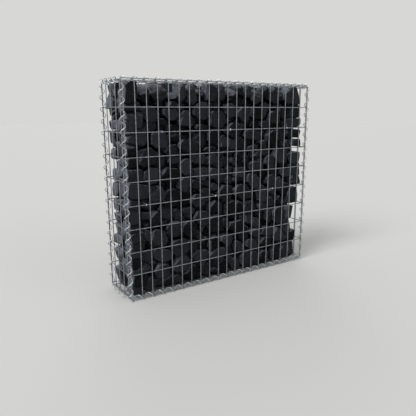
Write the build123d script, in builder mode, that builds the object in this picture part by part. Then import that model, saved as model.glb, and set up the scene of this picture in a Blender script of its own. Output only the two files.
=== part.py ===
from build123d import *
import os
from math import hypot, sqrt

os.makedirs("parts", exist_ok=True)

# The basket, between the middles of the outermost wires of its panels
wall_length = 1000
wall_height = 900
wall_depth = 200

# Welded mesh: close wires every 50 mm, wide wires every 100 mm
mesh_wire = 4
close_spacing = 50
wide_spacing = 100
wire_sides = 8
weld_sink = 0.3
wire_end = 2

# How far a panel's edge wires lie outside those of the panel it is joined to
front_lap = 12
end_lap = 6
lid_lap = 10

# Joining coils, which take one turn for each close wire they pass
coil_wire = 3.5
clearance = 0.3
coil_spacing = 1
corner_coil_turns_per_row = 2
corner_coil_rise = 30
bottom_coil_lead = -16
top_coil_lead = 4
bottom_end_coil_lead = 14
top_end_coil_lead = 0

# Two rows of tie wires from front to back, each hooked over a wide wire beside a close wire
tie_wire = 3.5
ties_per_row = 3
tie_beside_wire = 16
lower_tie_start = 2
upper_tie_start = 3

# Stone fill in lifts, which stops short of the basket's ends and lid
lift_count = 3
lower_lift_extra_rows = 1
lower_end_gaps = (26, 20)
middle_end_gaps = (30, 22)
upper_end_gaps = (22, 34)
fill_top_gap = 12
hollow_depth = 66
hollow_height = 150
hollow_flare = 60
hollow_level = 112
hollow_reach = 100

# Where the wires lie
layer_step = mesh_wire - weld_sink
front_face = wall_depth / 2 + front_lap
end_face = wall_length / 2 + end_lap
columns = round(wall_length / close_spacing)
rows = round(wall_height / wide_spacing)
column_pitch = wall_length / columns
row_pitch = wall_height / rows
end_pitch = wall_depth / round(wall_depth / close_spacing)

# The coils fit snugly round the pair of edge wires that lies furthest apart
corner_laps = (end_lap, front_lap)
long_edge_laps = (front_lap - layer_step, lid_lap)
end_edge_laps = (end_lap - layer_step, lid_lap - layer_step)
coil_seat = max(hypot(*laps) for laps in (corner_laps, long_edge_laps, end_edge_laps)) / 2
coil_radius = coil_seat + mesh_wire / 2 + clearance + coil_wire / 2
coil_reach = coil_radius + coil_wire / 2


def coil_place(laps):
    # A coil's axis, outside the edge wires and as far from one as from the other
    across, up = laps
    apart = hypot(across, up)
    outwards = sqrt(max(coil_seat**2 - (apart / 2) ** 2, 0))
    return across / 2 + outwards * up / apart, up / 2 + outwards * across / apart


corner_coil_x, corner_coil_y = coil_place(corner_laps)
long_coil_y, long_coil_z = coil_place(long_edge_laps)
end_coil_x, end_coil_z = coil_place(end_edge_laps)

# The basket stands on its two long bottom coils
bottom_wire = long_coil_z + coil_reach
top_wire = bottom_wire + wall_height
middle_height = bottom_wire + wall_height / 2
long_coil_axis = wall_depth / 2 + long_coil_y
end_coil_axis = wall_length / 2 + end_coil_x

# Coils end clear of each other in the basket's corners
coil_end = coil_spacing + coil_wire / 2
corner_coil_foot = bottom_wire + coil_reach - min(long_coil_z, end_coil_z) + coil_end
corner_coil_length = 2 * (middle_height - corner_coil_foot)
end_coil_half = long_coil_axis - coil_reach - coil_end


def write_piece(piece, name):
    piece.part.label = name
    export_step(piece.part, f"parts/{name}.step")


def wire_section():
    RegularPolygon(mesh_wire / 2, wire_sides, major_radius=False, rotation=180 / wire_sides)


def welded_panel(face, width, height, close_level, wide_level):
    # Close wires run up the panel and wide wires across it, welded where they cross
    openings_across = round(width / close_spacing)
    openings_up = round(height / wide_spacing)
    foot = face.from_local_coords((0, -height / 2 - wire_end, close_level))
    side = face.from_local_coords((-width / 2 - wire_end, 0, wide_level))
    with BuildPart() as panel:
        with BuildSketch(Plane(foot, x_dir=face.x_dir, z_dir=face.y_dir)):
            with GridLocations(width / openings_across, 0, openings_across + 1, 1):
                wire_section()
        extrude(amount=height + 2 * wire_end)
        with BuildSketch(Plane(side, x_dir=face.y_dir, z_dir=face.x_dir)):
            with GridLocations(height / openings_up, 0, openings_up + 1, 1):
                wire_section()
        extrude(amount=width + 2 * wire_end)
    return panel


def joining_coil(axis, lead, length, pitch):
    # The coil reaches the axis plane's x direction at the lead, measured from its start
    with BuildPart() as upright_coil:
        with BuildLine() as path:
            Helix(pitch=pitch, height=length, radius=coil_radius)
        with BuildSketch(Plane(path.line @ 0, z_dir=path.line % 0)):
            Circle(coil_wire / 2)
        sweep(is_frenet=True)
    with BuildPart() as coil:
        add(upright_coil.part.moved(axis.location * Rotation(0, 0, -360 * lead / pitch)))
    return coil


def turned_copy(piece, axis):
    with BuildPart() as copy:
        add(piece.part.rotate(axis, 180))
    return copy


# Front and back panels, with their close wires outside
for name, side in (("front_panel", -1), ("back_panel", 1)):
    face = Plane((0, side * front_face, middle_height), x_dir=(-side, 0, 0), z_dir=(0, side, 0))
    write_piece(welded_panel(face, wall_length, wall_height, 0, -layer_step), name)

# End panels, with their close wires outside
for name, side in (("left_end_panel", -1), ("right_end_panel", 1)):
    face = Plane((side * end_face, 0, middle_height), x_dir=(0, side, 0), z_dir=(side, 0, 0))
    write_piece(welded_panel(face, wall_depth, wall_height, 0, -layer_step), name)

# Lid and base panels, with their long wires outside
for name, side, level in (("base_panel", -1, bottom_wire), ("lid_panel", 1, top_wire)):
    face = Plane((0, 0, level + side * lid_lap), x_dir=(1, 0, 0), z_dir=(0, 0, side))
    write_piece(welded_panel(face, wall_length, wall_depth, -layer_step, 0), name)

# Coils up the four corners, all wound the same way
corner_foot = (-wall_length / 2 - corner_coil_x, -wall_depth / 2 - corner_coil_y, corner_coil_foot)
front_left_corner_coil = joining_coil(
    Plane(corner_foot, x_dir=(1, 0, 0), z_dir=(0, 0, 1)),
    bottom_wire + corner_coil_rise - corner_coil_foot,
    corner_coil_length,
    row_pitch / corner_coil_turns_per_row,
)
level_across = Axis((0, 0, middle_height), (1, 0, 0))
level_through = Axis((0, 0, middle_height), (0, 1, 0))
write_piece(front_left_corner_coil, "front_left_corner_coil")
write_piece(turned_copy(front_left_corner_coil, level_through), "front_right_corner_coil")
write_piece(turned_copy(front_left_corner_coil, level_across), "back_left_corner_coil")
write_piece(turned_copy(front_left_corner_coil, Axis.Z), "back_right_corner_coil")

# Coils along the long edges, and their twins at the back
for name, twin, height, lead in (
    ("front_bottom_coil", "back_bottom_coil", bottom_wire - long_coil_z, bottom_coil_lead),
    ("front_top_coil", "back_top_coil", top_wire + long_coil_z, top_coil_lead),
):
    start = Plane((-end_face, -long_coil_axis, height), x_dir=(0, 0, 1), z_dir=(1, 0, 0))
    coil = joining_coil(start, end_lap + lead, 2 * end_face, column_pitch)
    write_piece(coil, name)
    write_piece(turned_copy(coil, Axis.Z), twin)

# Coils across the two ends, between the long ones, and their twins at the right
for name, twin, height, lead in (
    ("left_bottom_coil", "right_bottom_coil", bottom_wire - end_coil_z, bottom_end_coil_lead),
    ("left_top_coil", "right_top_coil", top_wire + end_coil_z, top_end_coil_lead),
):
    start = Plane((-end_coil_axis, -end_coil_half, height), x_dir=(0, 0, 1), z_dir=(0, 1, 0))
    coil = joining_coil(start, end_coil_half - wall_depth / 2 + lead, 2 * end_coil_half, end_pitch)
    write_piece(coil, name)
    write_piece(turned_copy(coil, Axis.Z), twin)

# The rows of ties lie between the lifts, and the ties of a row share its length evenly
lower_tie_row = rows // lift_count + lower_lift_extra_rows
upper_tie_row = lower_tie_row + rows // lift_count
tie_openings = (columns + 1) // ties_per_row

# Tie wires, hooked over the wide wires of the front and back panels
tie_seat = mesh_wire / 2 + clearance + tie_wire / 2
hooked_wire = front_face - layer_step
lower_ties = []
upper_ties = []
for place in range(ties_per_row):
    lower_column = lower_tie_start + place * tie_openings
    upper_column = upper_tie_start + place * tie_openings
    lower_ties.append(-wall_length / 2 + lower_column * column_pitch - tie_beside_wire)
    upper_ties.append(-wall_length / 2 + upper_column * column_pitch + tie_beside_wire)

for level, row, places in (("lower", lower_tie_row, lower_ties), ("upper", upper_tie_row, upper_ties)):
    height = bottom_wire + row * row_pitch
    for where, place in zip(("left", "middle", "right"), places):
        with BuildPart() as tie:
            with BuildLine(Plane.YZ.offset(place)) as path:
                CenterArc((-hooked_wire, height), tie_seat, 270, -180)
                Line((-hooked_wire, height + tie_seat), (hooked_wire, height + tie_seat))
                CenterArc((hooked_wire, height), tie_seat, 90, -180)
            with BuildSketch(Plane(path.line @ 0, z_dir=path.line % 0)):
                Circle(tie_wire / 2)
            sweep()
        write_piece(tie, f"{level}_{where}_tie")

# Stone fill, placed in three lifts with the ties lying between them
fill_face = hooked_wire - mesh_wire / 2 - clearance
fill_foot = bottom_wire - lid_lap + layer_step + mesh_wire / 2
lower_fill_top = bottom_wire + lower_tie_row * row_pitch + mesh_wire / 2
middle_fill_top = bottom_wire + upper_tie_row * row_pitch + mesh_wire / 2
upper_fill_top = top_wire - fill_top_gap
tie_channel = tie_wire + 2 * clearance

# The bottom edges of the fill are cut back where the long bottom coils pass
coil_relief = (coil_reach + clearance) * sqrt(2) - (long_coil_axis - fill_face)
coil_relief = coil_relief + (bottom_wire - long_coil_z) - fill_foot


def stone_lift(end_gaps, foot, top, ties):
    left = -wall_length / 2 + end_gaps[0]
    right = wall_length / 2 - end_gaps[1]
    with BuildPart() as lift:
        with BuildSketch(Plane.XY.offset(foot)):
            with Locations(((left + right) / 2, 0)):
                Rectangle(right - left, 2 * fill_face)
        extrude(amount=top - foot)
        if ties:
            with BuildSketch(Plane.XY.offset(foot)):
                with Locations([(tie, 0) for tie in ties]):
                    Rectangle(tie_channel, 2 * fill_face)
            extrude(amount=tie_channel, mode=Mode.SUBTRACT)
    return lift


# The lower lift has a hollow in its front right corner, where no stone lies
hollow_middle = bottom_wire + hollow_level + hollow_height / 2
hollow_side = wall_length / 2 - lower_end_gaps[1]
plain_lift = stone_lift(lower_end_gaps, fill_foot, lower_fill_top, [])
with BuildPart() as lower_stone_lift:
    add(plain_lift.part)
    long_edges = lower_stone_lift.edges().filter_by(Axis.X)
    chamfer(long_edges.group_by(Axis.Z)[0], length=coil_relief)
    with BuildSketch(Plane.XZ.offset(fill_face)):
        with Locations((hollow_side, hollow_middle)):
            Trapezoid(
                hollow_height,
                hollow_depth,
                hollow_flare,
                rotation=90,
                align=(Align.CENTER, Align.MIN),
            )
    extrude(amount=-hollow_reach, mode=Mode.SUBTRACT)
write_piece(lower_stone_lift, "lower_stone_lift")

middle_stone_lift = stone_lift(middle_end_gaps, lower_fill_top, middle_fill_top, lower_ties)
write_piece(middle_stone_lift, "middle_stone_lift")

upper_stone_lift = stone_lift(upper_end_gaps, middle_fill_top, upper_fill_top, upper_ties)
write_piece(upper_stone_lift, "upper_stone_lift")

print("stands", round(top_wire + long_coil_z + coil_reach, 1), "mm high")
print("coil outer diameter", round(2 * coil_reach, 1), "mm")
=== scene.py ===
import math
import random

import bmesh
import bpy
from mathutils import Matrix, Vector
from mathutils.kdtree import KDTree


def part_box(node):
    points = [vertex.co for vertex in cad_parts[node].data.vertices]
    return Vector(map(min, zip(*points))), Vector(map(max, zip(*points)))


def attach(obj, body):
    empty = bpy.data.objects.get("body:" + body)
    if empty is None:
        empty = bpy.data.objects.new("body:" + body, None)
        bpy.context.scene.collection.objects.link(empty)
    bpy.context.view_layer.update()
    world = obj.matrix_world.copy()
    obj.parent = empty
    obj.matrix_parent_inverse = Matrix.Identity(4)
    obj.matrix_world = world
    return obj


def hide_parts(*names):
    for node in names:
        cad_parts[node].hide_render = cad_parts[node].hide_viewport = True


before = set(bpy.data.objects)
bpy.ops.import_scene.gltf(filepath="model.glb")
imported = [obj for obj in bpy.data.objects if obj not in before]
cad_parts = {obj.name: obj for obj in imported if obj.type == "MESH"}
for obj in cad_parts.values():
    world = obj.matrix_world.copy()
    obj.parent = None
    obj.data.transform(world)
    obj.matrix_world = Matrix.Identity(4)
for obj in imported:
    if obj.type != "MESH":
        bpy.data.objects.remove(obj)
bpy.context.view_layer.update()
print("frame loaded")

mm = 0.001


def selectOnly(thing):
    bpy.ops.object.select_all(action="DESELECT")
    thing.select_set(True)
    bpy.context.view_layer.objects.active = thing


def useModifier(thing, kind, **settings):
    # adds a modifier and applies it straight away
    selectOnly(thing)
    modifier = thing.modifiers.new(kind.lower(), kind)
    for name, value in settings.items():
        setattr(modifier, name, value)
    bpy.ops.object.modifier_apply(modifier=modifier.name)


def gather(things):
    # joins things into one
    bpy.ops.object.select_all(action="DESELECT")
    for thing in things:
        thing.select_set(True)
    bpy.context.view_layer.objects.active = things[0]
    bpy.ops.object.join()
    return bpy.context.active_object


def linear(hexColour):
    # an sRGB hex colour as the linear one that the shaders take
    channels = [int(hexColour[i:i + 2], 16) / 255 for i in (1, 3, 5)]
    return [c / 12.92 if c <= 0.04045 else ((c + 0.055) / 1.055) ** 2.4 for c in channels] + [1.0]


def addNode(tree, kind, settings=None, links=None):
    # adds a node, sets its properties and inputs, and joins other nodes' outputs to its inputs
    node = tree.nodes.new(kind)
    for name, value in (settings or {}).items():
        if isinstance(name, int) or name in node.inputs:
            node.inputs[name].default_value = value
        else:
            setattr(node, name, value)
    for name, output in (links or {}).items():
        tree.links.new(output, node.inputs[name])
    return node


# camera, at the place that the mesh's own wires give
camera = {
    "place": (-1.16047, -1.71813, 0.79951),
    "right": (0.83608, -0.54860, -0.00344),
    "up": (0.12328, 0.18177, 0.97558),
    "back": (-0.53458, -0.81609, 0.21961),
    "lens": 37.03,
    "sensor": 36,
}
bpy.ops.object.camera_add()
eye = bpy.context.active_object
eye.name = "camera"
eye.data.lens = camera["lens"]
eye.data.sensor_width = camera["sensor"]
turn = Matrix((camera["right"], camera["up"], camera["back"])).transposed()
eye.matrix_world = Matrix.Translation(camera["place"]) @ turn.to_4x4()
bpy.context.scene.camera = eye
print("camera placed")


# floor and studio light
studio = {
    "floorSize": 60,
    "floorColour": "#d2d2d0",
    "floorRoughness": 0.9,
    "skyLight": "#ffffff",
    "skyStrength": 0.5,
    "skyColour": "#d7d7d5",
    "keyFrom": (-0.7, -0.2, 0.68),
    "keyStrength": 2.0,
    "fillFrom": (0.5, -0.8, 0.4),
    "fillStrength": 0.15,
    "backFrom": (0.4, 0.8, 0.6),
    "backStrength": 0.35,
    "softness": 30,  # degrees across each lamp
}
bpy.ops.object.select_all(action="DESELECT")
bpy.ops.mesh.primitive_plane_add(size=studio["floorSize"])
floor = bpy.context.active_object
floor.name = "floor"
floorPaint = bpy.data.materials.new("paleFloor")
floorPaint.use_nodes = True
floorShader = floorPaint.node_tree.nodes["Principled BSDF"]
floorShader.inputs["Base Color"].default_value = linear(studio["floorColour"])
floorShader.inputs["Roughness"].default_value = studio["floorRoughness"]
floor.data.materials.append(floorPaint)

# the sky lights the object softly, and shows as a pale backdrop itself and in the wires
world = bpy.data.worlds.new("studio")
world.use_nodes = True
bpy.context.scene.world = world
sky = world.node_tree
skyLight = sky.nodes["Background"]
skyLight.inputs["Color"].default_value = linear(studio["skyLight"])
skyLight.inputs["Strength"].default_value = studio["skyStrength"]
paleSky = addNode(sky, "ShaderNodeBackground", {"Color": linear(studio["skyColour"]), "Strength": 1.0})
ray = addNode(sky, "ShaderNodeLightPath")
direct = addNode(
    sky, "ShaderNodeMath", {"operation": "MAXIMUM"},
    {0: ray.outputs["Is Camera Ray"], 1: ray.outputs["Is Glossy Ray"]},
)
seen = addNode(
    sky, "ShaderNodeMath", {"operation": "MAXIMUM"},
    {0: direct.outputs["Value"], 1: ray.outputs["Is Transmission Ray"]},
)
shownSky = addNode(
    sky, "ShaderNodeMixShader", None,
    {0: seen.outputs["Value"], 1: skyLight.outputs["Background"], 2: paleSky.outputs["Background"]},
)
sky.links.new(shownSky.outputs["Shader"], sky.nodes["World Output"].inputs["Surface"])


def addLamp(name, comesFrom, strength):
    bpy.ops.object.light_add(type="SUN", location=comesFrom)
    lamp = bpy.context.active_object
    lamp.name = name
    lamp.data.energy = strength
    lamp.data.angle = math.radians(studio["softness"])
    lamp.rotation_mode = "QUATERNION"
    lamp.rotation_quaternion = Vector(comesFrom).to_track_quat("Z", "Y")


for name in ("key", "fill", "back"):
    addLamp(name + "Lamp", studio[name + "From"], studio[name + "Strength"])
bpy.context.scene.view_settings.view_transform = "Standard"
print("studio lit")


# hot-dip galvanised steel wire: zinc, which dulls to a soft grey with a faint mottle
weldedWire = {
    "fresh": "#a1a4a9",
    "dull": "#7f8388",
    "mottle": 9 * mm,
    "mottleSpan": (0.35, 0.65),  # where in the noise it is dull and where fresh
    "grain": 1.2 * mm,
    "grainDepth": 0.15 * mm,
    "metallic": 0.85,
    "roughness": 0.42,
}
# the coils and ties are drawn wire with a smooth aluminium zinc coat, which stays brighter
spiralWire = {
    "fresh": "#d8dbde",
    "dull": "#adb1b5",
    "mottle": 12 * mm,
    "mottleSpan": (0.35, 0.65),
    "grain": 1 * mm,
    "grainDepth": 0.15 * mm,
    "metallic": 0.85,
    "roughness": 0.4,
}


def makeZinc(name, look):
    zinc = bpy.data.materials.new(name)
    zinc.use_nodes = True
    tree = zinc.node_tree
    shader = tree.nodes["Principled BSDF"]
    place = addNode(tree, "ShaderNodeTexCoord").outputs["Object"]
    mottle = addNode(
        tree, "ShaderNodeTexNoise", {"Scale": 1 / look["mottle"], "Detail": 3.0}, {"Vector": place}
    )
    colour = addNode(tree, "ShaderNodeValToRGB", None, {"Fac": mottle.outputs["Fac"]})
    for step, share, tone in zip(colour.color_ramp.elements, look["mottleSpan"], ("dull", "fresh")):
        step.position = share
        step.color = linear(look[tone])
    grain = addNode(
        tree, "ShaderNodeTexNoise", {"Scale": 1 / look["grain"], "Detail": 2.0}, {"Vector": place}
    )
    bump = addNode(
        tree, "ShaderNodeBump",
        {"Strength": 0.25, "Distance": look["grainDepth"]}, {"Height": grain.outputs["Fac"]},
    )
    tree.links.new(colour.outputs["Color"], shader.inputs["Base Color"])
    tree.links.new(bump.outputs["Normal"], shader.inputs["Normal"])
    shader.inputs["Metallic"].default_value = look["metallic"]
    shader.inputs["Roughness"].default_value = look["roughness"]
    return zinc


panelZinc = makeZinc("galvanisedSteel", weldedWire)
coilZinc = makeZinc("aluminiumZincSteel", spiralWire)
for name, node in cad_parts.items():
    if not name.endswith("stone_lift"):
        node.data.materials.clear()
        node.data.materials.append(panelZinc if name.endswith("panel") else coilZinc)
print("wires galvanised")


# the welded panels again, with round wires, cut ends and a flattened weld at each crossing
weldedMesh = {
    "wire": 4 * mm,
    "sides": 12,
    "cutEdge": 0.5 * mm,
    "weldReach": 3.1 * mm,
    "weldThickness": 2.4 * mm,
}
# panel, axis through it, its outer side, axis that its outer wires run along, axis across them,
# and the spacing of the outer and inner wires in mm
panels = (
    ("front_panel", 1, -1, 2, 0, 50, 100),
    ("back_panel", 1, 1, 2, 0, 50, 100),
    ("left_end_panel", 0, -1, 2, 1, 50, 100),
    ("right_end_panel", 0, 1, 2, 1, 50, 100),
    ("base_panel", 2, -1, 0, 1, 100, 50),
    ("lid_panel", 2, 1, 0, 1, 100, 50),
)
alongAxis = ((0, math.pi / 2, 0), (math.pi / 2, 0, 0), (0, 0, 0))


def repeat(thing, axis, pitch, room):
    # copies at this spacing along one axis, as many as the room takes
    shift = [0, 0, 0]
    shift[axis] = pitch
    useModifier(
        thing, "ARRAY", count=round(room / pitch) + 1, use_relative_offset=False,
        use_constant_offset=True, constant_offset_displace=shift,
    )


def addWires(first, last, along, across, pitch):
    # one round wire with cut ends, repeated across the panel
    middle = first.copy()
    middle[along] = (first[along] + last[along]) / 2
    bpy.ops.object.select_all(action="DESELECT")
    bpy.ops.mesh.primitive_cylinder_add(
        vertices=weldedMesh["sides"], radius=weldedMesh["wire"] / 2, rotation=alongAxis[along],
        depth=last[along] - first[along] + weldedMesh["wire"], location=middle,
    )
    bpy.ops.object.transform_apply(location=True, rotation=True, scale=True)
    wires = bpy.context.active_object
    useModifier(wires, "BEVEL", width=weldedMesh["cutEdge"], segments=1, angle_limit=math.radians(60))
    repeat(wires, across, pitch, last[across] - first[across])
    return wires


def addWelds(first, last, through, along, across, pitches):
    # one flattened weld, repeated at every crossing
    size = [weldedMesh["weldReach"]] * 3
    size[through] = weldedMesh["weldThickness"] / 2
    bpy.ops.object.select_all(action="DESELECT")
    bpy.ops.mesh.primitive_uv_sphere_add(segments=8, ring_count=5, radius=1, location=first, scale=size)
    bpy.ops.object.transform_apply(location=True, rotation=True, scale=True)
    welds = bpy.context.active_object
    repeat(welds, across, pitches[0], last[across] - first[across])
    repeat(welds, along, pitches[1], last[along] - first[along])
    return welds


wireRadius = Vector([weldedMesh["wire"] / 2] * 3)
for name, through, outer, along, across, outerPitch, innerPitch in panels:
    low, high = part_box(name)
    first, last = low + wireRadius, high - wireRadius
    levels = (first[through], last[through]) if outer < 0 else (last[through], first[through])
    first[through] = levels[0]
    wires = [addWires(first, last, along, across, outerPitch * mm)]
    first[through] = levels[1]
    wires.append(addWires(first, last, across, along, innerPitch * mm))
    first[through] = (levels[0] + levels[1]) / 2
    wires.append(addWelds(first, last, through, along, across, (outerPitch * mm, innerPitch * mm)))
    panel = gather(wires)
    side = name.split("_")[0]
    panel.name = panel.data.name = side + "WeldedMesh"
    bpy.ops.object.shade_smooth_by_angle(angle=math.radians(35))
    panel.data.materials.clear()
    panel.data.materials.append(panelZinc)
    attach(panel, "root")
    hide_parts(name)
    print(panel.name, len(panel.data.polygons), "faces")


# broken basalt: near black and matt, each stone a little lighter or darker than the next, with a fine
# speckle, with painted shade that makes faces that look along the wall, up or down darker than those that
# look out of it, and with pale rock dust and painted light on those that look up or out of the two ends
basaltStone = {
    "dark": "#050506",
    "light": "#2c2e32",
    "toneSpan": (0.2, 1.0),  # the tone at which a face is dark, and at which it is light
    "patch": 30 * mm,
    "patchShare": 0.5,
    "speckle": 4 * mm,  # coarser than the real grain, so that it shows
    "speckleShare": 0.25,
    # how open a face is, from how far it looks to an end, to a side and up, and its share of the tone, for
    # painted shade on faces that look into the joints
    "openTo": (0.3, 0.9, 0.35),
    "openSpan": (0.3, 0.95),
    "shadeInJoints": 0.35,
    # how much pale dust and painted light lie on a face, from the same three, and its noise
    "dustAndLight": "#757a82",
    "dustAndLightTo": (0.75, -0.45, 0.9),
    "dustAndLightSpan": (0.84, 1.5),
    "dustAndLightMost": 0.85,
    "dustAndLightEdges": 16 * mm,
    "dents": 15 * mm,
    "dentDepth": 5 * mm,
    "speckleDepth": 1.5 * mm,
    "roughness": 0.75,
    "sheen": 0.08,
}


def makeBasalt(look):
    basalt = bpy.data.materials.new("brokenBasalt")
    basalt.use_nodes = True
    tree = basalt.node_tree
    shader = tree.nodes["Principled BSDF"]
    place = addNode(tree, "ShaderNodeTexCoord").outputs["Object"]

    # each stone's own tone, with patches and speckles
    tone = addNode(tree, "ShaderNodeAttribute", {"attribute_name": "stoneTone"})
    patch = addNode(
        tree, "ShaderNodeTexNoise",
        {"Scale": 1 / look["patch"], "Detail": 6.0, "Roughness": 0.6}, {"Vector": place},
    )
    patched = addNode(
        tree, "ShaderNodeMath", {"operation": "MULTIPLY_ADD", 1: look["patchShare"]},
        {0: patch.outputs["Fac"], 2: tone.outputs["Fac"]},
    )
    grit = addNode(
        tree, "ShaderNodeTexNoise", {"Scale": 1 / look["speckle"], "Detail": 4.0}, {"Vector": place}
    )
    speckle = addNode(
        tree, "ShaderNodeMapRange",
        {
            "clamp": False, "From Min": 0.35, "From Max": 0.65,
            "To Min": -look["speckleShare"], "To Max": look["speckleShare"],
        },
        {"Value": grit.outputs["Fac"]},
    )
    speckled = addNode(
        tree, "ShaderNodeMath", {"operation": "ADD"},
        {0: patched.outputs["Value"], 1: speckle.outputs["Result"]},
    )

    # the way a face looks, the same for both ends and for both sides
    normal = addNode(tree, "ShaderNodeNewGeometry").outputs["Normal"]
    parts = addNode(tree, "ShaderNodeSeparateXYZ", None, {"Vector": normal})
    ends = addNode(tree, "ShaderNodeMath", {"operation": "ABSOLUTE"}, {"Value": parts.outputs["X"]})
    sides = addNode(tree, "ShaderNodeMath", {"operation": "ABSOLUTE"}, {"Value": parts.outputs["Y"]})
    looks = addNode(
        tree, "ShaderNodeCombineXYZ", None,
        {"X": ends.outputs["Value"], "Y": sides.outputs["Value"], "Z": parts.outputs["Z"]},
    )

    # painted shade: darker on faces that look into the joints, along the wall or down
    openness = addNode(
        tree, "ShaderNodeVectorMath",
        {"operation": "DOT_PRODUCT", 1: look["openTo"]}, {0: looks.outputs["Vector"]},
    )
    paintedJointShade = addNode(
        tree, "ShaderNodeMapRange",
        {"From Min": look["openSpan"][0], "From Max": look["openSpan"][1], "To Min": look["shadeInJoints"]},
        {"Value": openness.outputs["Value"]},
    )
    # the tone with the painted joint shade multiplied in
    shade = addNode(
        tree, "ShaderNodeMath", {"operation": "MULTIPLY"},
        {0: speckled.outputs["Value"], 1: paintedJointShade.outputs["Result"]},
    )
    colour = addNode(tree, "ShaderNodeValToRGB", None, {"Fac": shade.outputs["Value"]})
    for step, share, end in zip(colour.color_ramp.elements, look["toneSpan"], ("dark", "light")):
        step.position = share
        step.color = linear(look[end])

    # pale dust, and painted light on faces that look up or out of the two ends
    facing = addNode(
        tree, "ShaderNodeVectorMath",
        {"operation": "DOT_PRODUCT", 1: look["dustAndLightTo"]}, {0: looks.outputs["Vector"]},
    )
    edges = addNode(
        tree, "ShaderNodeTexNoise", {"Scale": 1 / look["dustAndLightEdges"], "Detail": 5.0}, {"Vector": place}
    )
    patchy = addNode(
        tree, "ShaderNodeMath", {"operation": "ADD"}, {0: edges.outputs["Fac"], 1: facing.outputs["Value"]}
    )
    dustAndLightShare = addNode(
        tree, "ShaderNodeMapRange",
        {"From Min": look["dustAndLightSpan"][0], "From Max": look["dustAndLightSpan"][1], "To Max": look["dustAndLightMost"]},
        {"Value": patchy.outputs["Value"]},
    )
    # mixes the pale dust and painted light into the stone colour
    dustedAndLit = addNode(
        tree, "ShaderNodeMix", {"data_type": "RGBA", 7: linear(look["dustAndLight"])},
        {"Factor": dustAndLightShare.outputs["Result"], 6: colour.outputs["Color"]},
    )

    # dents and grit
    dents = addNode(
        tree, "ShaderNodeTexNoise", {"Scale": 1 / look["dents"], "Detail": 3.0}, {"Vector": place}
    )
    dented = addNode(
        tree, "ShaderNodeBump",
        {"Strength": 0.8, "Distance": look["dentDepth"]}, {"Height": dents.outputs["Fac"]},
    )
    gritty = addNode(
        tree, "ShaderNodeBump", {"Strength": 0.9, "Distance": look["speckleDepth"]},
        {"Height": grit.outputs["Fac"], "Normal": dented.outputs["Normal"]},
    )
    # the colour with pale dust and painted light goes to the shader
    tree.links.new(dustedAndLit.outputs[2], shader.inputs["Base Color"])
    tree.links.new(gritty.outputs["Normal"], shader.inputs["Normal"])
    shader.inputs["Roughness"].default_value = look["roughness"]
    shader.inputs["Specular IOR Level"].default_value = look["sheen"]
    return basalt


basalt = makeBasalt(basaltStone)

# stone fill, each stone cut from its own block
fill = {
    "seed": 11,
    "left": -485 * mm,
    "face": 105.5 * mm,  # half its depth
    "foot": 14.8 * mm,
    "top": 921.5 * mm,
    "footRelief": 17.5 * mm,  # room for the coils along the long edges
    "topRelief": 14.7 * mm,
    "depth": (62 * mm, 86 * mm),  # of the stones behind the front and back mesh
    "edgeRoom": 34 * mm,  # stones nearer to the floor, the lid or an end than this reach it
    "pastEnd": 4 * mm,  # and go this far past the right end, which cuts them off
    "endWidth": 50 * mm,  # stones with their middle nearer to an end than this stay fuller
    "endChips": 0.4,
    "tieRadius": 1.75 * mm,
    "tieRoom": 22 * mm,  # from a tie to the middle of a stone
    "tieGap": 3.2 * mm,  # from a tie's middle to the faces around it
    "reach": 150 * mm,  # stones with their middles further apart than this don't meet
    "batch": 20,  # stones joined at a time, which is faster than one by one
}
# the right end of the fill: height and place, in mm, with a stone missing low down
rightEnd = [
    (0, 455), (135, 478), (161, 459), (183, 429), (219, 412), (252, 410), (284, 460),
    (390, 484), (520, 484), (645, 476), (930, 458),
]
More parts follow.
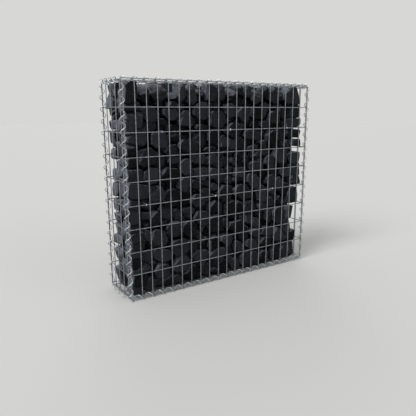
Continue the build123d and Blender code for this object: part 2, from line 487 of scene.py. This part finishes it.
# the front stones, in mm: middle across and up, width, height, how far each is set back,
# and the percentage of its height that slopes away at the top, or 0 for any
frontStones = [
    (-463, 865, 61, 79, 0, 15), (-405, 868, 53, 80, 4, 55), (-335, 874, 79, 70, 4, 55),
    (-268, 874, 57, 62, 4, 95), (-267, 826, 49, 33, 6, 30), (-226, 870, 37, 75, 4, 0),
    (-176, 863, 39, 103, 0, 0), (-119, 886, 47, 47, 10, 95), (-71, 879, 57, 79, 0, 25),
    (-14, 874, 51, 56, 6, 20), (38, 887, 57, 51, 4, 85), (88, 890, 39, 51, 8, 35), (126, 890, 44, 56, 2, 0),
    (183, 863, 64, 64, 4, 65), (239, 887, 45, 64, 4, 35), (290, 870, 57, 85, 2, 25),
    (351, 864, 40, 53, 12, 60), (386, 867, 51, 79, 2, 30), (437, 874, 47, 87, 0, 15),
    (-450, 770, 79, 69, 0, 45), (-375, 791, 77, 69, 8, 0), (-274, 793, 69, 61, 8, 0),
    (-205, 771, 55, 71, 8, 0), (-125, 801, 77, 79, 0, 20), (-308, 757, 41, 33, 24, 0),
    (-36, 765, 84, 76, 0, 20), (34, 803, 53, 69, 8, 0), (110, 785, 77, 71, 0, 0), (191, 794, 53, 61, 8, 0),
    (244, 736, 64, 39, 6, 0), (299, 767, 61, 73, 0, 0), (354, 790, 48, 71, 6, 0), (439, 798, 51, 67, 6, 0),
    (424, 738, 82, 56, 4, 0), (-259, 730, 49, 33, 20, 0), (-118, 729, 61, 31, 12, 0),
    (50, 715, 84, 73, 0, 30), (-440, 695, 93, 69, 2, 30), (-333, 679, 79, 79, 0, 20),
    (-248, 688, 53, 48, 32, 0), (-193, 649, 92, 60, 0, 30), (-175, 710, 69, 23, 20, 0),
    (-64, 684, 49, 69, 4, 0), (-4, 663, 39, 65, 4, 0), (36, 652, 51, 61, 2, 0), (87, 648, 44, 55, 4, 0),
    (162, 690, 95, 56, 4, 0), (282, 668, 53, 79, 2, 0), (237, 640, 48, 49, 10, 0),
    (350, 682, 56, 60, 14, 0), (428, 689, 78, 46, 8, 0), (-467, 648, 45, 51, 6, 50),
    (-392, 611, 88, 80, 0, 30), (-275, 636, 67, 45, 16, 0), (401, 637, 53, 48, 8, 0),
    (453, 642, 59, 41, 2, 0), (-72, 626, 63, 35, 10, 0), (188, 623, 75, 33, 16, 0),
    (-454, 593, 51, 40, 18, 0), (-259, 593, 56, 36, 18, 0), (-207, 557, 59, 81, 0, 20),
    (-138, 590, 69, 45, 6, 0), (-64, 584, 49, 59, 4, 0), (-380, 535, 72, 69, 0, 25),
    (-292, 530, 81, 69, 0, 25), (-445, 540, 59, 53, 12, 0), (-130, 521, 69, 61, 6, 0),
    (-65, 520, 48, 55, 2, 0), (66, 570, 37, 53, 30, 0), (102, 581, 43, 53, 24, 0),
    (134, 578, 31, 53, 16, 0), (206, 593, 56, 37, 18, 0), (197, 531, 75, 59, 4, 0),
    (283, 547, 60, 79, 2, 0), (343, 574, 73, 84, 0, 0), (450, 558, 75, 69, 0, 15),
    (424, 543, 35, 53, 30, 0), (16, 566, 52, 72, 40, 0), (104, 511, 61, 49, 16, 0),
    (-439, 473, 85, 65, 2, 30), (-352, 454, 69, 75, 0, 20), (-281, 430, 76, 79, 0, 20),
    (-215, 481, 61, 72, 0, 0), (-155, 477, 69, 53, 4, 0), (-50, 455, 44, 35, 16, 0),
    (-108, 433, 37, 44, 8, 0), (39, 475, 48, 53, 34, 0), (175, 463, 71, 75, 2, 0), (288, 455, 51, 61, 8, 0),
    (338, 433, 56, 72, 6, 0), (402, 485, 73, 47, 10, 0), (457, 450, 56, 60, 4, 0),
    (-457, 409, 56, 56, 10, 0), (-145, 402, 79, 61, 0, 0), (7, 415, 77, 88, 0, 20),
    (108, 417, 97, 79, 0, 25), (234, 394, 52, 87, 4, 0), (307, 392, 47, 31, 12, 0),
    (-415, 360, 59, 37, 18, 0), (-359, 344, 55, 67, 8, 0), (-253, 354, 44, 41, 20, 0),
    (-188, 357, 79, 32, 18, 0), (-59, 359, 41, 69, 6, 0), (40, 342, 55, 77, 4, 0), (93, 346, 49, 61, 6, 0),
    (153, 331, 67, 60, 4, 0), (240, 324, 47, 40, 8, 0), (290, 344, 45, 53, 10, 0),
    (360, 343, 60, 56, 20, 0), (442, 363, 51, 81, 10, 0), (-461, 313, 48, 47, 8, 0),
    (-129, 315, 75, 71, 0, 25), (-409, 278, 49, 60, 12, 0), (-351, 255, 75, 83, 0, 10),
    (-275, 283, 69, 68, 4, 0), (-184, 273, 79, 76, 4, 0), (-100, 242, 37, 52, 24, 0),
    (-51, 277, 72, 83, 0, 0), (14, 269, 41, 47, 14, 0), (69, 242, 79, 67, 0, 0), (161, 273, 44, 60, 18, 0),
    (203, 244, 60, 55, 16, 0), (295, 269, 48, 73, 14, 0), (348, 265, 81, 92, 0, 15),
    (431, 273, 53, 77, 4, 0), (-454, 241, 61, 56, 4, 35), (-459, 187, 44, 40, 14, 0),
    (-404, 174, 51, 61, 18, 0), (-333, 173, 81, 57, 6, 0), (-247, 198, 80, 75, 0, 25),
    (-175, 192, 57, 45, 6, 0), (-57, 185, 56, 67, 0, 0), (15, 185, 71, 60, 0, 0), (195, 190, 56, 48, 10, 0),
    (285, 186, 61, 51, 6, 0), (355, 162, 75, 73, 2, 0), (439, 141, 60, 65, 6, 0), (98, 130, 41, 71, 22, 0),
    (181, 135, 73, 53, 14, 0), (276, 130, 80, 52, 10, 0), (-39, 127, 88, 64, 0, 20),
    (-132, 132, 85, 51, 8, 0), (-235, 110, 85, 83, 4, 0), (-441, 125, 87, 61, 0, 60),
    (-335, 103, 81, 65, 0, 20), (-458, 51, 48, 53, 18, 0), (-402, 51, 55, 65, 12, 20),
    (-295, 41, 56, 44, 20, 20), (-183, 70, 87, 61, 6, 20), (-96, 68, 44, 63, 14, 0), (6, 55, 52, 56, 16, 0),
    (147, 65, 57, 71, 14, 0), (202, 61, 44, 63, 14, 0), (261, 54, 52, 60, 18, 0), (345, 67, 53, 69, 16, 0),
    (411, 66, 64, 64, 18, 0), (449, 69, 37, 71, 10, 0), (-40, 32, 40, 40, 26, 0), (86, 46, 53, 60, 34, 0),
]


def rightOf(up):
    # where the fill ends at the right at this height
    for (lower, fromX), (upper, toX) in zip(rightEnd, rightEnd[1:]):
        if up <= upper * mm:
            share = (up / mm - lower) / (upper - lower)
            return (fromX + (toX - fromX) * share) * mm
    return rightEnd[-1][1] * mm


def isAtEnd(across, up):
    return min(across - fill["left"], rightOf(up) - across) < fill["endWidth"]


def planStone(place, half, side, fine, slope=0, atEnd=False):
    # side is -1 in the front layer, 0 in the middle and 1 at the back
    chips = fill["endChips"] if atEnd else 1
    return {
        "place": place, "half": half, "side": side, "fine": fine,
        "slope": slope, "atEnd": atEnd, "chips": chips,
    }


def radius(plan, way):
    return Vector([plan["half"][i] * way[i] for i in range(3)]).length


def roomTo(plan, place):
    # how far a point on the face lies outside a stone
    gap = Vector((place.x - plan["place"].x, 0, place.z - plan["place"].z))
    return gap.length - radius(plan, gap.normalized())


# stones between the two outer layers
middleStones = {
    "count": 170,
    "size": 100 * mm,
    "flatness": 0.9,
    "chips": 0.15,
    "toEnds": 22 * mm,  # how near to the ends and to the floor and lid their middles come
    "toFloor": 25 * mm,
    "fromMiddle": 20 * mm,
    "straightAt": 500 * mm,  # a height at which the right end is straight
    "rounds": 3,
    "points": 9000,
}


def scatter(dice, low, high):
    return Vector([dice.uniform(low[i], high[i]) for i in range(3)])


def scatterMiddle(dice):
    # chance places, which are moved to the middle of the room around them until they are evenly spread
    toEnds, fromMiddle, toFloor = [middleStones[name] for name in ("toEnds", "fromMiddle", "toFloor")]
    low = (fill["left"] + toEnds, -fromMiddle, fill["foot"] + toFloor)
    high = (rightOf(middleStones["straightAt"]) - toEnds, fromMiddle, fill["top"] - toFloor)
    places = [scatter(dice, low, high) for _ in range(middleStones["count"])]
    for _ in range(middleStones["rounds"]):
        finder = KDTree(len(places))
        for index, place in enumerate(places):
            finder.insert(place, index)
        finder.balance()
        sums = [[Vector(), 0] for _ in places]
        for _ in range(middleStones["points"]):
            point = scatter(dice, low, high)
            nearest = finder.find(point)[1]
            sums[nearest][0] += point
            sums[nearest][1] += 1
        places = [total / count if count else scatter(dice, low, high) for total, count in sums]
    return places


# smaller stones, set back, in the holes that the outer ones leave
plugStones = {
    "tries": 2500,
    "fromFloor": 12 * mm,
    "fromEnds": 8 * mm,
    "largest": 42 * mm,
    # half width of the smallest hole that takes one, how far it goes past the hole, and how far back it is
    "inside": {"hole": 10 * mm, "overlap": 14 * mm, "setBack": (20 * mm, 38 * mm)},
    "atEnd": {"hole": 5 * mm, "overlap": 24 * mm, "setBack": (1 * mm, 4 * mm)},  # where daylight would show
}


def plugHoles(outer, side, dice):
    # the widest hole first
    spots = []
    for _ in range(plugStones["tries"]):
        up = dice.uniform(fill["foot"] + plugStones["fromFloor"], fill["top"] - plugStones["fromFloor"])
        across = dice.uniform(fill["left"] + plugStones["fromEnds"], rightOf(up) - plugStones["fromEnds"])
        place = Vector((across, 0, up))
        where = "atEnd" if isAtEnd(place.x, up) else "inside"
        spots.append([min(roomTo(plan, place) for plan in outer), place, where])
    plans = []
    while True:
        wide = [spot for spot in spots if spot[0] > plugStones[spot[2]]["hole"]]
        if not wide:
            return plans
        room, place, where = max(wide, key=lambda spot: spot[0])
        depth = dice.uniform(*fill["depth"])
        size = min(room + plugStones[where]["overlap"], plugStones["largest"])
        setBack = dice.uniform(*plugStones[where]["setBack"])
        middle = Vector((place.x, side * (fill["face"] - setBack - depth / 2), place.z))
        plans.append(planStone(middle, Vector((size, depth / 2, size)), side, 3, atEnd=where == "atEnd"))
        for spot in spots:
            spot[0] = min(spot[0], (spot[1] - place).length - size)


def stretch(plan, axis, least, most):
    # a stone that nearly reaches an edge of the fill reaches it
    low, high = plan["place"][axis] - plan["half"][axis], plan["place"][axis] + plan["half"][axis]
    low = least if low < least + fill["edgeRoom"] else low
    high = most if high > most - fill["edgeRoom"] else high
    plan["place"][axis] = (low + high) / 2
    plan["half"][axis] = (high - low) / 2


def planStones(dice):
    plans = []
    for side in (-1, 1):
        outer = []
        for across, up, width, height, setBack, slope in frontStones:
            place = Vector((across, 0, up)) * mm
            if side > 0:
                # behind the back mesh they lie the other way up
                place.z = fill["top"] + fill["foot"] - place.z
                slope = 0
            depth = dice.uniform(*fill["depth"])
            place.y = side * (fill["face"] - setBack * mm - depth / 2)
            half = Vector((width * mm / 2, depth / 2, height * mm / 2))
            plan = planStone(place, half, side, 4, slope / 100, isAtEnd(place.x, up * mm))
            stretch(plan, 0, fill["left"], rightOf(place.z) + fill["pastEnd"])
            stretch(plan, 2, fill["foot"], fill["top"])
            outer.append(plan)
        plans += outer + plugHoles(outer, side, dice)
    for place in scatterMiddle(dice):
        half = Vector((1, middleStones["flatness"], 1)) * middleStones["size"] / 2
        plan = planStone(place, half, 0, 3)
        plan["chips"] = middleStones["chips"]
        plans.append(plan)
    for plan in plans:
        for tie in tiePlaces:
            away = plan["place"] - tie
            away.y = 0
            if away.length < fill["tieRoom"]:
                plan["place"] += away.normalized() * (fill["tieRoom"] - away.length)
    return plans


def sliceOff(point, normal):
    # cuts the block that is being edited and keeps the side that the normal points away from
    block = bmesh.from_edit_mesh(bpy.context.edit_object.data)
    if max((corner.co - point).dot(normal) for corner in block.verts) > 0.01 * mm:
        bpy.ops.mesh.select_all(action="SELECT")
        bpy.ops.mesh.bisect(plane_co=point, plane_no=normal, use_fill=True, clear_outer=True)


def chipOff(centre, way, share):
    # takes the outermost share of the stone off in one direction
    block = bmesh.from_edit_mesh(bpy.context.edit_object.data)
    normal = Vector(way).normalized()
    reach = max((corner.co - centre).dot(normal) for corner in block.verts)
    sliceOff(centre + normal * reach * (1 - share), normal)


# how uneven the stones are at the two ends of the fill
endFaces = {
    "lean": (-0.25, 0.25),
    "step": (-4, 4),  # mm
}


def cutToFill(place, dice):
    sliceOff(Vector((0, 0, fill["foot"])), Vector((0, 0, -1)))
    sliceOff(Vector((0, 0, fill["top"])), Vector((0, 0, 1)))
    for way, end in ((-1, fill["left"]), (1, rightOf(place.z))):
        uneven = Vector((way, dice.uniform(*endFaces["lean"]), dice.uniform(*endFaces["lean"]))).normalized()
        sliceOff(Vector((end + way * dice.uniform(*endFaces["step"]) * mm, place.y, place.z)), uneven)
    for way in (-1, 1):
        sliceOff(Vector((0, way * fill["face"], 0)), Vector((0, way, 0)))
        edge = Vector((0, way * fill["face"], fill["foot"] + fill["footRelief"]))
        sliceOff(edge, Vector((0, way, -1)).normalized())
        edge = Vector((0, way * fill["face"], fill["top"] - fill["topRelief"]))
        sliceOff(edge, Vector((0, way, 1)).normalized())


# the joint between two stones is where their sizes share the way from one to the other
stoneJoints = {
    "gap": 0.8 * mm,
    "gapShare": (0.5, 2),
    "lean": 0.22,
    "wedge": 8 * mm,  # how far the middle stones reach in between the outer ones instead
    "endWedge": 4.5 * mm,  # how far they reach into each other, and the end stones into all, against daylight
}


def jointLean(index, other):
    # a joint leans by chance, the same for both of its stones
    dice = random.Random(1000 * min(index, other) + max(index, other))
    most = stoneJoints["lean"] * (1 if index < other else -1)
    return Vector([dice.uniform(-most, most) for _ in range(3)])


def cutJoints(plan, neighbours, dice):
    # joints with the stones around it, and with the ties
    place, side = plan["place"], plan["side"]
    for other, lean in neighbours:
        gap = other["place"] - place
        way = gap.normalized()
        share = radius(plan, way) / (radius(plan, way) + radius(other, way))
        shift = -stoneJoints["gap"] * dice.uniform(*stoneJoints["gapShare"])
        if plan["atEnd"] or not side:
            shift = stoneJoints["endWedge"]
        if other["side"] and not side:
            shift = stoneJoints["wedge"]
        sliceOff(place + gap * share + way * shift, (way + lean).normalized())
    for tie in tiePlaces:
        away = tie - place
        away.y = 0
        if away.length < plan["half"].length:
            sliceOff(tie - away.normalized() * fill["tieGap"], away.normalized())


# the outer face, as parts of directions and as shares of the stone, some from least to most
outerFace = {
    "back": 2 * mm,
    "leanAcross": (-0.25, 0.25),
    "leanUp": (-0.2, 0.25),
    "slope": (0.06, 0.3),  # where the list says 0
    "fallAcross": (-0.45, 0.1),
    "fallOut": 1.3,
    "fallOutAtLid": 0.6,
    "fallUp": (0.65, 0.9),
    "longSlope": 0.4,  # a slope longer than this bends back further up
    "bendIn": 0.3,
    "bendUp": 0.42,
    "bendTurn": 0.7,
    "footAcross": (-0.3, 0.3),
    "footDown": 0.7,
    "footShare": (0.03, 0.2),
    "cornerAcross": (0.4, 1),
    "cornerUp": (-0.6, 0.6),
    "cornerShare": (0.05, 0.27),
}


def cutOuterFace(plan, dice):
    # it leans a little and breaks into a few facets
    place, half, side = plan["place"], plan["half"], plan["side"]
    front = place.y + side * half.y
    lean = Vector((dice.uniform(*outerFace["leanAcross"]), side, dice.uniform(*outerFace["leanUp"])))
    sliceOff(Vector((place.x, front - side * outerFace["back"], place.z)), lean.normalized())
    slope = plan["slope"] or dice.uniform(*outerFace["slope"])
    level = Vector((place.x, front, place.z + half.z - slope * 2 * half.z))
    atLid = place.z + half.z > fill["top"] - 1 * mm
    out = outerFace["fallOutAtLid" if atLid else "fallOut"]
    across, up = dice.uniform(*outerFace["fallAcross"]), dice.uniform(*outerFace["fallUp"])
    fall = Vector((across, out * side, up)).normalized()
    sliceOff(level, fall)
    if plan["slope"] > outerFace["longSlope"]:
        bend = level + Vector((0, -side * outerFace["bendIn"], outerFace["bendUp"])) * half.z
        sliceOff(bend, (fall + Vector((0, 0, outerFace["bendTurn"]))).normalized())
    foot = (dice.uniform(*outerFace["footAcross"]), outerFace["footDown"] * side, -outerFace["footDown"])
    chipOff(place, foot, dice.uniform(*outerFace["footShare"]))
    for way in (-1, 1):
        corner = (way * dice.uniform(*outerFace["cornerAcross"]), side, dice.uniform(*outerFace["cornerUp"]))
        chipOff(place, corner, dice.uniform(*outerFace["cornerShare"]) * plan["chips"])


# chips off the long edges and off the side that looks into the fill
stoneChips = {
    "edgeAcross": (0.6, 1.4),
    "edgeThrough": (-0.4, 0.4),
    "edgeShare": (0.05, 0.28),
    "backCount": 4,
    "backShare": (0.08, 0.25),
}


def cutChips(plan, dice):
    for across in (-1, 1):
        for up in (-1, 1):
            wide = across * dice.uniform(*stoneChips["edgeAcross"])
            edge = (wide, dice.uniform(*stoneChips["edgeThrough"]), up)
            chipOff(plan["place"], edge, dice.uniform(*stoneChips["edgeShare"]) * plan["chips"])
    for _ in range(stoneChips["backCount"]):
        back = (dice.uniform(-1, 1), dice.uniform(0, -1) * (plan["side"] or 1), dice.uniform(-1, 1))
        chipOff(plan["place"], back, dice.uniform(*stoneChips["backShare"]) * plan["chips"])


# the surface of the cut stones
stoneSurface = {
    "turn": (-0.2, 0.2),  # radians, of the block before it is cut
    "cover": 0.9,  # share of the remesh grid that the stone takes up
    "rounding": 0.5,
    "waves": 26 * mm,
    "waveDetail": 3,
    "waveHeight": 4 * mm,
    "waveMiddle": 0.15,
}


def cutStone(plan, neighbours, dice):
    bpy.ops.object.select_all(action="DESELECT")
    turn = (0, dice.uniform(*stoneSurface["turn"]), 0)
    bpy.ops.mesh.primitive_cube_add(size=1, location=plan["place"], scale=plan["half"] * 2, rotation=turn)
    stone = bpy.context.active_object
    bpy.ops.object.transform_apply(location=True, rotation=True, scale=True)
    bpy.ops.object.mode_set(mode="EDIT")
    cutToFill(plan["place"], dice)
    cutJoints(plan, neighbours, dice)
    if plan["side"]:
        cutOuterFace(plan, dice)
    cutChips(plan, dice)
    bpy.ops.mesh.select_all(action="SELECT")
    bpy.ops.mesh.normals_make_consistent(inside=False)
    bpy.ops.object.mode_set(mode="OBJECT")
    useModifier(
        stone, "REMESH", mode="SHARP", octree_depth=plan["fine"], scale=stoneSurface["cover"],
        use_smooth_shade=True,
    )
    tone = stone.data.attributes.new("stoneTone", "FLOAT", "POINT")
    tone.data.foreach_set("value", [dice.random()] * len(stone.data.vertices))
    return stone


tiePlaces = []
for level in ("lower", "upper"):
    for where in ("left", "middle", "right"):
        low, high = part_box(f"{level}_{where}_tie")
        tiePlaces.append(Vector(((low.x + high.x) / 2, 0, high.z - fill["tieRadius"])))
dice = random.Random(fill["seed"])
plans = planStones(dice)
finder = KDTree(len(plans))
for index, plan in enumerate(plans):
    finder.insert(plan["place"], index)
finder.balance()
print(len(plans), "stones planned")

waves = bpy.data.textures.new("stoneWaves", "CLOUDS")
waves.noise_scale = stoneSurface["waves"]
waves.noise_depth = stoneSurface["waveDetail"]


def cutPile(name, chosen):
    pile = []
    for index in chosen:
        near = finder.find_range(plans[index]["place"], fill["reach"])
        neighbours = [(plans[other], jointLean(index, other)) for _, other, _ in near if other != index]
        pile.append(cutStone(plans[index], neighbours, dice))
        if len(pile) == fill["batch"]:
            pile = [gather(pile)]
    pile = gather(pile)
    pile.name = pile.data.name = name
    useModifier(pile, "SMOOTH", factor=stoneSurface["rounding"], iterations=1)
    useModifier(
        pile, "DISPLACE", texture=waves, texture_coords="LOCAL", strength=-stoneSurface["waveHeight"],
        mid_level=stoneSurface["waveMiddle"],
    )
    pile.data.materials.clear()
    pile.data.materials.append(basalt)
    return pile


layers = {"front": -1, "middle": 0, "back": 1}
liftFoot = 0
for lift in ("lower", "middle", "upper"):
    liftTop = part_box(f"{lift}_stone_lift")[1].z
    inLift = [index for index, plan in enumerate(plans) if liftFoot <= plan["place"].z < liftTop]
    for layer, side in layers.items():
        chosen = [index for index in inLift if plans[index]["side"] == side]
        pile = cutPile(f"{lift}{layer.title()}Stones", chosen)
        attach(pile, "root")
        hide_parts(f"{lift}_stone_lift")
        print(pile.name, len(chosen), "stones,", len(pile.data.polygons), "faces")
    liftFoot = liftTop
